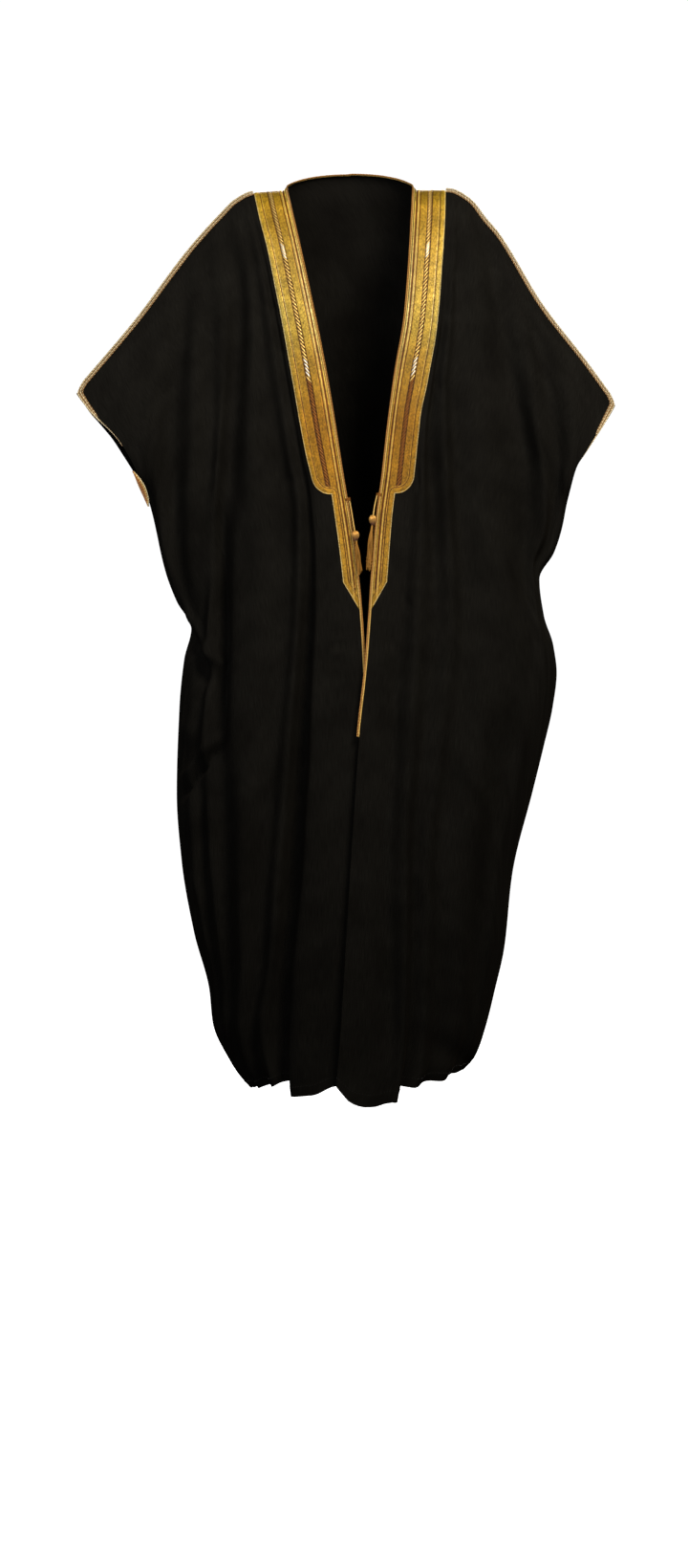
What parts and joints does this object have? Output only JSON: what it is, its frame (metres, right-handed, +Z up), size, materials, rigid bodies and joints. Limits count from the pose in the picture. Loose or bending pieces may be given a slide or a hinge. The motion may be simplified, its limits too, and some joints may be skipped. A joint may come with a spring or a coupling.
{
  "type": "bisht cloak",
  "caption": "Wide ankle-length bisht cloak in black cloth, open in front, with gold zari bands, cord-bound edges and hand openings, and two tassel ties, in its worn shape.",
  "frame": {"origin": "on the centre line between the shoulders, at the height of the neck points, where the wearer's shoulders hold the cloak", "axes": "+Z up; the fronts face -Y; +X is the wearer's left"},
  "size_m": [0.8387, 0.34, 1.4657],
  "materials": {
    "cloth": "fine black wool crepe with a soft sheen",
    "zari_band": "gold metal thread, couched and twill worked",
    "zari_cord": "plied gold cord"
  },
  "bodies": {
    "root": {"back_panel": "cloth", "front_panel_left": "cloth", "front_panel_right": "cloth", "front_band_left": "zari_band", "front_band_right": "zari_band", "neck_band": "zari_band", "edge_cord": "zari_cord", "shoulder_cord_left": "zari_cord", "shoulder_cord_right": "zari_cord", "cuff_cord_left": "zari_cord", "cuff_cord_right": "zari_cord", "tie_cord_left": "zari_cord", "tie_cord_right": "zari_cord", "tie_bead_left": "zari_cord", "tie_bead_right": "zari_cord", "tie_tassel_left": "zari_cord", "tie_tassel_right": "zari_cord"}
  },
  "joints": []
}
